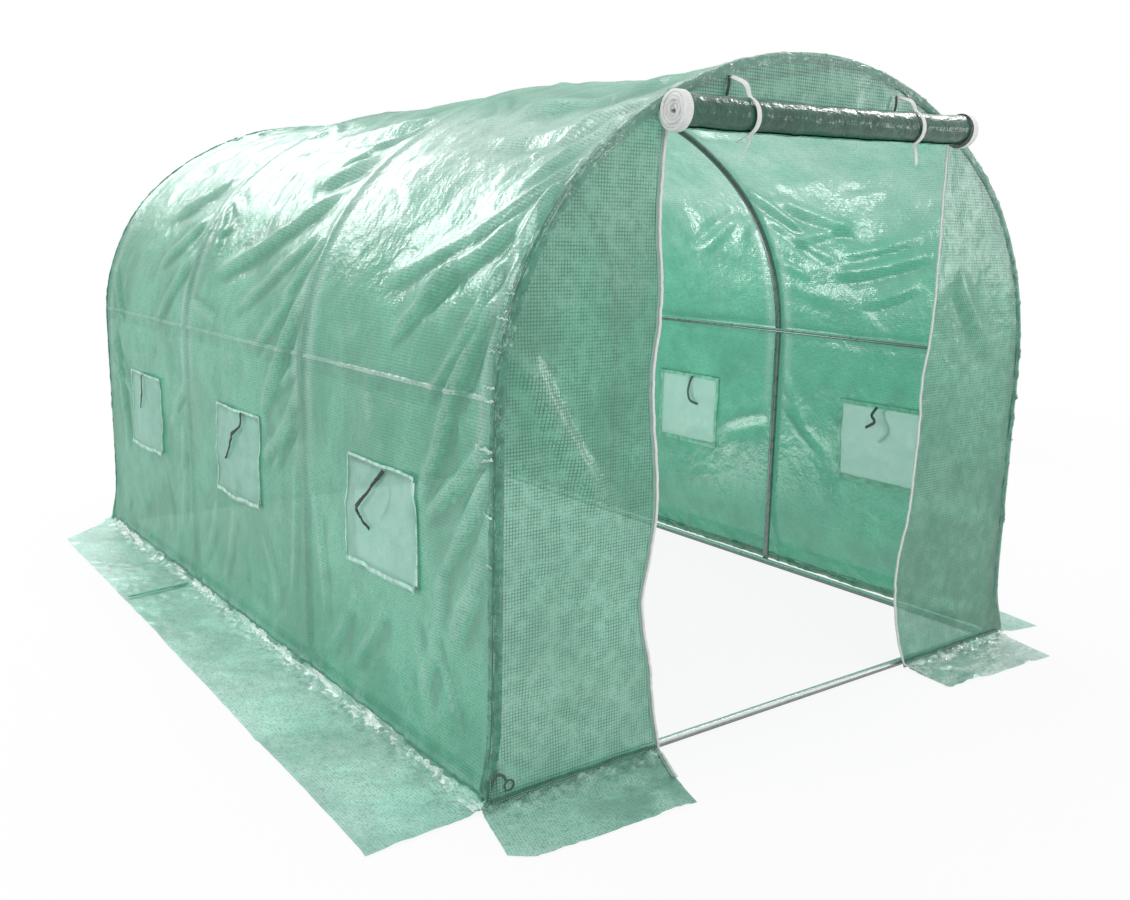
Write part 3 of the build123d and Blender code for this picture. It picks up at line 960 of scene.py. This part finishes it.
def build_zip(side_name):
    """The white zip and its darker tape, down one edge of the doorway and out over the skirt."""
    z = np.linspace(DOOR_TOP + 0.02, 0.03, 260)
    x = edge_x(z, side_name)
    side = SIDES[side_name]
    down = at(x, front_point(x, z, side_name) - 0.003, z)
    out = soft_curve([tuple(down[-1])] + [(a, -b, c) for a, b, c in ZIP_FEET[side_name]], 40)
    path = np.vstack([down, out[1:]])
    blend = np.clip((np.arange(len(path)) - len(down) + 12) / 24, 0, 1)[:, None]
    across = (1 - blend) * np.array([side, 0.0, 0.0]) + blend * np.array([side * 0.75, 0.66 * 0.4, 0.0])
    path = path + across * (0.0022 * fractal(path, 0.05, 77 + side))[:, None]
    coil = ribbon(f"door_zip_{side_name}", path, across, 0.0065, "white_tape", "white_tape", thick=0.0035)
    tape = path + across * 0.007 + np.array([0, 0.002, 0])
    ribbon(f"door_zip_tape_{side_name}", tape, across, 0.008, "zip_edge", "white_tape", thick=0.0012)
    return coil


def build_sole_seam(side_name):
    """The stitched fold along the foot of a front panel."""
    inner = abs(edge_x(np.array([0.02]), side_name)[0]) + 0.01
    x = SIDES[side_name] * np.linspace(inner, WALL + 0.008, 60)
    z = 0.022 + 0.003 * fractal(at(x, 0.0, 0.0), 0.08, 71)
    path = at(x, front_point(x, z, side_name) - 0.0035, z)
    ribbon(f"front_sole_seam_{side_name}", path, (0.0, -0.25, -1.0), 0.010, "sole_film", "green_film")


def build_fold(name, start, stop, out, seed, tight=1.0):
    """A crumpled fold where a wall turns out into its skirt, from start to stop along the ground."""
    start, stop, out = (np.array(p, float) for p in (start, stop, out))
    length = np.linalg.norm(stop - start)
    u, q = np.meshgrid(np.linspace(0, length, int(length / 0.0048)), np.linspace(0, 1, 12))
    patchy = np.clip(0.55 + 1.3 * field_noise(u, 0 * u, 0.20, seed), 0.12, 1.4) * tight
    crumple = np.abs(field_noise(u, q * 0.05, 0.040, seed + 4, stretch=1.8)) - 0.15
    bulge = 0.0050 * patchy * crumple * np.sin(pi * np.clip(q, 0.03, 0.97)) ** 0.5
    away = -0.008 + 0.034 * q**1.5 + 0.6 * bulge + 0.003 * field_noise(u, q, 0.1, seed + 8)
    z = 0.0062 + 0.022 * (1 - q) ** 2.2 + np.maximum(bulge, -0.001) + 0.003 * patchy * np.sin(pi * q)
    place = start + (stop - start) * (u / length)[..., None] + out * away[..., None]
    fold = new_sheet(name, at(place[..., 0], place[..., 1], z), u, q * 0.05, "fold_film", "skirt_film")


def build_base_line(side_name):
    """The dark sewn crease along the foot of a long wall."""
    side = SIDES[side_name]
    y = np.linspace(-END, END, 260)
    z = np.full_like(y, 0.030)
    path = at(wall_x(y, z, side) + side * 0.002, y, z)
    width = 0.005 * np.clip(0.8 + 0.9 * fractal(path, 0.3, 93), 0.25, 1.2)
    ribbon(f"base_line_{side_name}", path, (side * 0.35, 0.0, -1.0), width, "line_film", "green_film",
           thick=0.0015)


def build_pucker(name, side, z, length, width, drop):
    """A small crease where the seam's thread pulls the cover together, near white as a painted glint."""
    share = np.linspace(0, 1, 16)
    y = -END - 0.004 + (length + 0.004) * share
    height = z - drop * share + 0.0015 * np.sin(share * 17 + 40 * z)
    path = at(wall_x(y, height, side) + side * (0.002 + 0.006 * (1 - share) ** 2), y, height)
    size = width * (0.35 + 0.65 * np.abs(np.sin(share * 7 + 30 * z))) * (1.05 - share) ** 0.4
    ribbon(name, path, (side * 0.4, 0.1, 1.0), size, "glint_crease_film", "green_film", thick=0.0022)


def build_corner_tie():
    """The short dark loop and ring sewn into the seam at the left front corner."""
    y = front_y - 0.012
    loop = soft_curve([(-1.002, y - 0.003, 0.050), (-0.996, y - 0.006, 0.074), (-0.984, y - 0.006, 0.086),
                       (-0.968, y - 0.005, 0.080), (-0.960, y - 0.004, 0.066)], 24)
    ribbon("corner_tie_loop", loop, sideways(loop, ALONG), 0.007, "inner_webbing", "strap_webbing")
    tab = soft_curve([(-1.004, y - 0.004, 0.078), (-1.006, y - 0.006, 0.055), (-1.008, y - 0.006, 0.028)], 12)
    ribbon("corner_tie_tab", tab, (1.0, 0.0, 0.0), 0.011, "sole_film", "strap_webbing", thick=0.002)
    turn, tube = (2 * pi * grid for grid in spanned(41, 11))
    ring, wire = 0.0125, 0.0025
    reach = ring + wire * np.cos(tube)
    points = at(-0.952 + reach * np.cos(turn), y - 0.006 + wire * np.sin(tube), 0.053 + reach * np.sin(turn))
    new_sheet("corner_tie_ring", points, turn * ring, tube * 0.002, "inner_webbing", "strap_webbing")


def build_skirt_seam():
    """The sewn join across the left skirt, towards its back end."""
    line = soft_curve([(-FOOT_LEFT - 0.02, 0.441, 0.0125), (-1.13, 0.424, 0.0125),
                       (-1.252, 0.406, 0.0115)], 40)
    ribbon("skirt_left_seam", line, sideways(line, UP), 0.010, "edge_film", "skirt_film", thick=0.003)


# Creases at the door end's seam: (side, height, length, width, drop)
CREASES = [(-1, 1.16, 0.030, 0.005, 0.002), (-1, 1.105, 0.040, 0.005, -0.004),
           (-1, 1.04, 0.048, 0.006, 0.004), (-1, 0.962, 0.055, 0.006, 0.003),
           (-1, 0.935, 0.036, 0.007, 0.006), (-1, 0.824, 0.070, 0.015, -0.006),
           (-1, 0.808, 0.050, 0.010, 0.012), (-1, 0.68, 0.050, 0.006, 0.000),
           (-1, 0.57, 0.022, 0.004, 0.002), (1, 1.10, 0.040, 0.006, 0.004),
           (1, 0.80, 0.050, 0.008, 0.008), (1, 0.66, 0.030, 0.005, 0.002)]
# Where the seam is pulled together: (way along, size)
PUCKERS = [(0.68, 0.004), (0.82, 0.010), (0.935, 0.005), (0.962, 0.004), (1.045, 0.005), (1.12, 0.004),
           (1.25, 0.003), (ARC - 0.80, 0.006), (ARC - 1.10, 0.004), (2.0, 0.003), (2.6, 0.003)]

for side_name, foot, seed in (("left", -FOOT_LEFT, 87), ("right", FOOT_RIGHT, 97)):
    build_fold(f"base_fold_{side_name}", (foot, -END - 0.008), (foot, 1.530), (SIDES[side_name], 0), seed)
build_fold("base_fold_front_right", (0.512, FRONT_FOOT), (FOOT_RIGHT - 0.012, FRONT_FOOT), (0, -1), 107,
           tight=1.2)
build_fold("base_fold_back", (-FOOT_LEFT, BACK_FOOT), (FOOT_RIGHT, BACK_FOOT), (0, 1), 117)
build_skirt_seam()
for side_name in SIDES:
    build_base_line(side_name)
build_corner_tie()
for number, crease in enumerate(CREASES):
    build_pucker(f"seam_pucker_{number + 1}", *crease)
build_edge_seam("front_seam", front_y, -1, (0.018, 0.026), 61, "seam_film", PUCKERS)
build_edge_seam("back_seam", back_y, 1, (0.016, 0.026), 71, "edge_film")
zips = [build_zip(side_name) for side_name in SIDES]
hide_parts("door_zips")
for side_name in SIDES:
    build_sole_seam(side_name)

# ---------------------------------------------------------------- the rolled-up door

roll_low, roll_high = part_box("door_roll")
ROLL_Y = (roll_low.y + roll_high.y) / 2
ROLL_Z = (roll_low.z + roll_high.z) / 2
ROLL_R = 0.0405
CAP = 0.022  # how far the white ends reach in over the roll


def roll_z(x):
    """The height of the roll's middle line: a little higher at its right end, with a slight sag."""
    t = (x - roll_low.x) / (roll_high.x - roll_low.x)
    return ROLL_Z - 0.013 + 0.026 * t - 0.004 * np.sin(pi * t)


def build_roll():
    """The film wound into a roll, whose outer turn ends in a loose edge underneath."""
    x, angle = np.meshgrid(np.linspace(roll_low.x + CAP, roll_high.x - CAP, 150), np.linspace(0, 2 * pi, 56),
                           indexing="ij")
    ring = at(x, np.cos(angle) * 0.05, np.sin(angle) * 0.05).reshape(-1, 3)
    bumps = (fractal(ring, 0.10, 81) * 0.0022 + fractal(ring, 0.03, 83) * 0.0008).reshape(x.shape)
    radius = ROLL_R + bumps - 0.003 * angle / (2 * pi)
    points = at(x, ROLL_Y + radius * np.cos(angle - 1.9), roll_z(x) + radius * np.sin(angle - 1.9))
    roll = new_sheet("door_roll_film", points, x, angle * ROLL_R, "rolled_film", "rolled_film")
    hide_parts("door_roll")


def build_roll_end(side_name):
    """The door's edge tape wound up at one end of the roll, as a thick white spiral."""
    side = SIDES[side_name]
    turns, inner, outer = 5, 0.006, ROLL_R + 0.0055
    half = 0.5 * (outer - inner) / turns
    t = np.linspace(0, 1, turns * 48 + 1)[:, None]
    angle = t * turns * 2 * pi
    radius = inner + (outer - inner) * t + half * np.array([-1, -1, 0, 1, 1])
    lift = 0.0022 * np.sin(angle * 1.7) + 0.003 * (1 - t)
    depth = np.hstack([CAP + 0 * t, 0.002 + lift, lift, 0.002 + lift, CAP + 0 * t])
    x = (roll_high.x if side > 0 else roll_low.x) - side * depth
    points = at(x, ROLL_Y + radius * np.cos(angle), roll_z(x) + radius * np.sin(angle))
    new_sheet(f"roll_end_{side_name}", points, t * 0.9 + 0 * depth, depth, "white_tape", "white_tape")


def build_tie(side_name, x, lean, top_z, tails):
    """A white tie from the top seam over the front of the roll, knotted under it with loose tails."""
    angle = np.linspace(1.15, -1.35, 40)
    radius = ROLL_R + 0.0035
    wrap = at(x + lean * np.linspace(1, 0, 40) ** 1.5, ROLL_Y - radius * np.cos(angle),
              roll_z(x) + radius * np.sin(angle))
    start = np.array([x + 1.6 * lean, front_y - 0.012, top_z])
    lead = soft_curve([start, (start + wrap[0]) / 2 + np.array([0.004, -0.010, 0.006]), wrap[0]], 14)
    path = np.vstack([lead[:-1], wrap])
    across = np.tile([1.0, 0.0, 0.0], (len(path), 1))
    across[:14] = [0.9, 0.0, 0.45]
    width = 0.014 * (1 - 0.35 * hump(np.arange(len(path)) - 16, 4.0))
    tie = ribbon(f"door_tie_{side_name}", path, across, width, "white_tape", "white_tape")
    for number, points in enumerate(tails):
        tail = soft_curve([wrap[-1] + np.array(p) for p in points], 16)
        ribbon(f"door_tie_{side_name}_tail_{number + 1}", tail, (0.8, 0.1, 0.6), 0.013, "white_tape",
               "white_tape")
    stub = np.array([x + 1.6 * lean - 0.006, front_y - 0.010, top_z + 0.002])
    stub = soft_curve([stub, stub - (0.004, 0.004, 0.022), stub - (0.008, 0.002, 0.047)], 12)
    ribbon(f"door_tie_{side_name}_stub", stub, (1.0, 0.2, 0.0), 0.010, "webbing", "strap_webbing")
    return tie


build_roll()
for side_name in SIDES:
    build_roll_end(side_name)
tie_low, tie_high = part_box("door_ties")
left_tie = build_tie("left", tie_low.x + 0.007, -0.012, 1.650,
                     [[(0, 0, 0), (-0.020, -0.012, -0.006), (-0.046, -0.006, -0.020)],
                      [(0, 0, 0), (-0.014, -0.012, -0.024), (-0.032, -0.004, -0.058)]])
build_tie("right", tie_high.x - 0.007, -0.010, 1.655,
          [[(0, 0, 0), (-0.004, -0.012, -0.020), (0.012, -0.006, -0.052)]])
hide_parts("door_ties")

# ---------------------------------------------------------------- windows

# How each strap lies outside and inside: (along the wall from the window's middle, down from the flap's top)
STRAPS = {
    "left_front": [(-0.031, 0.010), (0.012, 0.056), (0.060, 0.100), (0.096, 0.132), (0.078, 0.146),
                   (0.032, 0.172)],
    "left_middle": [(-0.050, 0.002), (-0.058, 0.040), (-0.020, 0.066), (0.004, 0.080), (0.020, 0.120),
                    (0.046, 0.163)],
    "left_back": [(0.013, 0.002), (0.000, 0.042), (0.014, 0.090), (0.040, 0.135)],
    "right_front": [(-0.010, 0.004), (-0.006, 0.045), (-0.026, 0.085), (-0.020, 0.112), (0.010, 0.140)],
    "right_middle": [(0.012, 0.004), (0.020, 0.050), (0.008, 0.088), (-0.018, 0.120)],
    "right_back": [(0.004, 0.004), (-0.006, 0.055), (0.004, 0.100), (-0.010, 0.140)],
}
INNER_STRAPS = {
    "left_front": [(-0.028, 0.012), (-0.014, 0.060), (-0.002, 0.104), (0.030, 0.150)],
    "left_middle": [(-0.030, 0.012), (-0.036, 0.060), (-0.020, 0.110), (-0.006, 0.150)],
    "left_back": [(0.006, 0.012), (0.012, 0.060), (0.004, 0.110), (0.020, 0.140)],
    "right_front": [(0.009, 0.010), (0.024, 0.040), (0.010, 0.056), (0.014, 0.068), (0.052, 0.090)],
    "right_middle": [(-0.024, 0.010), (-0.014, 0.045), (-0.010, 0.080), (-0.024, 0.112), (-0.066, 0.124)],
    "right_back": [(0.010, 0.010), (-0.004, 0.050), (0.006, 0.090), (-0.024, 0.120)],
}
FLAP_SLANTS = (0.010, 0.004, -0.004)


def build_window(side_name, bay):
    """The net, the clear flap, its hems, the stitched border and the strap of one window."""
    side = SIDES[side_name]
    y0, y1, z0, z1 = holes[side_name][bay]
    name = f"{side_name}_{BAY_NAMES[bay]}"
    seed = 90 + 7 * bay + (40 if side > 0 else 0)

    z, y = np.meshgrid(np.linspace(z0 - 0.004, z1 + 0.004, 20), np.linspace(y0 - 0.004, y1 + 0.004, 24),
                       indexing="ij")
    x = wall_x(y, z, side) - side * (0.003 + 0.002 * field_noise(y, z, 0.2, seed))
    net = new_sheet(f"window_net_{name}", at(x, y, z), y, z, "window_net", "net")
    y1 - y0
    z1 - z0

    low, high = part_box(f"window_flap_{name}")
    up, over = spanned(30, 34)
    askew = FLAP_SLANTS[bay] * -side + 0.005 * field_noise(over, up, 0.3, seed + 1)
    y = low.y + (high.y - low.y) * over + askew * (1 - up)
    z = low.z + (high.z - low.z) * up + 0.006 * field_noise(over, up, 0.35, seed + 2) * (1 - up)
    puff = 0.010 * np.sin(pi * over) * np.sin(pi * (up * 0.9 + 0.1))
    wrinkles = 0.004 * field_noise(y, z, 0.07, seed + 3) + 0.009 * field_noise(y, z, 0.2, seed + 4)
    away = 0.004 + puff + np.maximum(wrinkles, -0.002) + 0.010 * (1 - up) ** 3
    points = at(wall_x(y, z, side) + side * away, y, z)
    flap = new_sheet(f"window_flap_{name}_film", points, y, z, "flap_film", "clear_film")
    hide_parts(f"window_flap_{name}")

    out = np.array([side * 0.0015, 0, 0])
    for label, line, cross, width in (
        ("top", points[-1], UP, 0.008),
        ("foot", points[1], UP, 0.012),
        ("left", points[:, 0], ALONG, 0.005),
        ("right", points[:, -1], ALONG, 0.005),
    ):
        ribbon(f"window_hem_{name}_{label}", line + out, cross, width, "hem_film", "clear_film", thick=0.0012)

    build_border(name, side, holes[side_name][bay])
    middle = (y0 + y1) / 2
    return net, build_straps(name, side, middle, high.z, points)


def build_border(name, side, hole):
    """The stitched band of doubled film round a window hole, on the inside."""
    y0, y1, z0, z1 = hole
    wide = 0.016
    half = wide / 2
    for label, ys, zs, cross in (
        ("top", (y0 - wide, y1 + wide), (z1 + half, z1 + half), UP),
        ("foot", (y0 - wide, y1 + wide), (z0 - half, z0 - half), UP),
        ("near", (y0 - half, y0 - half), (z0, z1), ALONG),
        ("far", (y1 + half, y1 + half), (z0, z1), ALONG),
    ):
        y, z = np.linspace(*ys, 24), np.linspace(*zs, 24)
        path = at(wall_x(y, z, side) - side * 0.0025, y, z)
        ribbon(f"window_border_{name}_{label}", path, cross, wide, "border_film", "green_film", thick=0.0014)


def build_straps(name, side, middle, top, flap):
    """The dark tie strap that hangs over a flap, and its other end, which hangs on the inside of the net."""
    line = soft_curve([(middle + a, top - b) for a, b in STRAPS[name]], 36)
    skin = flap.reshape(-1, 3)
    nearest = [np.argmin(((skin[:, 1:] - place) ** 2).sum(axis=1)) for place in line]
    away = side * (0.005 + 0.006 * np.sin(np.linspace(0, pi, 36)))
    path = at(skin[nearest, 0] + away, line[:, 0], line[:, 1])
    width = 0.0125 - 0.005 * np.abs(np.sin(np.linspace(0.3, 5.2, 36))) ** 3
    strap = ribbon(f"window_strap_{name}", path, sideways(path, (side, 0, 0)), width, "webbing",
                   "strap_webbing", thick=0.0018)

    line = soft_curve([(middle + a, top - b) for a, b in INNER_STRAPS[name]], 30)
    away = -side * (0.009 + 0.008 * np.sin(np.linspace(0, pi, 30)))
    path = at(wall_x(line[:, 0], line[:, 1], side) + away, line[:, 0], line[:, 1])
    ribbon(f"window_strap_inner_{name}", path, sideways(path, (side, 0, 0)), 0.0105, "inner_webbing",
           "strap_webbing")
    return strap


for side_name in SIDES:
    made = [build_window(side_name, bay) for bay in range(3)]
    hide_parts(f"window_nets_{side_name}")
    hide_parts(f"window_straps_{side_name}")

# ---------------------------------------------------------------- floor, light and camera


def seen_share(tree):
    """1 for rays that show the background, where it is plain white, and 0 for those that carry light."""
    rays = ("Camera", "Glossy", "Transmission", "Diffuse")
    camera, glossy, clear, diffuse = (add(tree, "LightPath", out=f"Is {kind} Ray") for kind in rays)
    return maths("MAXIMUM", camera, maths("MAXIMUM", glossy, clear - diffuse))


def build_floor():
    tree, place = new_material("studio_floor")
    plain = add(tree, "BsdfDiffuse", {"Color": (0.85, 0.85, 0.85, 1)})
    white = add(tree, "Emission", {"Color": (1, 1, 1, 1), "Strength": 1.0})
    far = add(tree, "VectorMath", {0: place}, out="Value", operation="LENGTH")
    finish(layered(seen_share(tree) * ranged(far, 2.5, 7.0, 0.89, 1.0), plain, white))
    mesh = bpy.data.meshes.new("studio_floor")
    reach = 40.0
    mesh.from_pydata([(-reach, -reach, 0), (reach, -reach, 0), (reach, reach, 0), (-reach, reach, 0)], [],
                     [(0, 1, 2, 3)])
    mesh.materials.append(MATERIALS["studio_floor"])
    floor = bpy.data.objects.new("studio_floor", mesh)
    bpy.context.scene.collection.objects.link(floor)


def build_world():
    world = bpy.data.worlds.new("studio")
    bpy.context.scene.world = world
    world.use_nodes = True
    tree = world.node_tree
    tree.nodes.clear()
    light = add(tree, "Background", {"Color": (1, 1, 1, 1), "Strength": 0.60})
    white = add(tree, "Background", {"Color": (1, 1, 1, 1), "Strength": 1.0})
    finish(layered(seen_share(tree), light, white), "ShaderNodeOutputWorld")


def build_lamp(name, place, target, size, strength, spread=180):
    """A soft box; strength is how bright its face is, beside a white of 1, and spread how wide it shines."""
    lamp = bpy.data.lights.new(name, "AREA")
    lamp.shape = "RECTANGLE"
    lamp.size, lamp.size_y = size
    lamp.energy = strength * pi * size[0] * size[1]
    lamp.spread = radians(spread)
    thing = bpy.data.objects.new(name, lamp)
    bpy.context.scene.collection.objects.link(thing)
    aim = Vector(target) - Vector(place)
    thing.matrix_world = Matrix.Translation(place) @ aim.to_track_quat("-Z", "Y").to_matrix().to_4x4()
    thing.visible_camera = False


def build_camera():
    """The photo's camera, from where it stood and how it was turned."""
    heading, pitch, roll = radians(36.888), radians(-11.190), radians(1.154)
    ahead = Vector((sin(heading) * cos(pitch), cos(heading) * cos(pitch), sin(pitch)))
    level = Vector((cos(heading), -sin(heading), 0))
    up = level.cross(ahead)
    right = level * cos(roll) + up * sin(roll)
    above = up * cos(roll) - level * sin(roll)
    camera = bpy.data.cameras.new("camera")
    camera.sensor_width = 36.0
    camera.lens = 35.43
    thing = bpy.data.objects.new("camera", camera)
    turn = Matrix((right, above, -ahead)).transposed().to_4x4()
    thing.matrix_world = Matrix.Translation((-2.262, -3.452, 1.293)) @ turn
    bpy.context.scene.collection.objects.link(thing)
    bpy.context.scene.camera = thing


build_floor()
build_world()
build_lamp("back_box", (-1.1, 6.4, 4.6), (-0.6, -0.4, 1.3), (5.2, 1.7), 8.0)
build_lamp("key_box", (-5.6, 0.0, 4.6), (-0.8, -0.2, 0.7), (2.6, 2.6), 5.0)
build_lamp("front_box", (-0.5, -7.0, 3.6), (0.0, -1.5, 0.9), (2.4, 2.4), 4.0)
build_lamp("low_box", (5.6, -4.9, 1.6), (-0.7, -1.5, 0.9), (1.0, 1.6), 5.0)
build_lamp("right_box", (3.9, -1.3, 4.7), (0.0, -1.5, 1.6), (1.0, 1.0), 16.0)
build_lamp("roof_box", (0.5, 0.5, 5.2), (0.2, 0.0, 1.5), (2.2, 2.4), 3.0)
build_lamp("inner_box", (0.25, 0.25, 0.03), (0.97, -0.45, 1.4), (0.6, 0.7), 2.8, spread=90)
build_camera()
bpy.context.scene.view_settings.view_transform = "Standard"
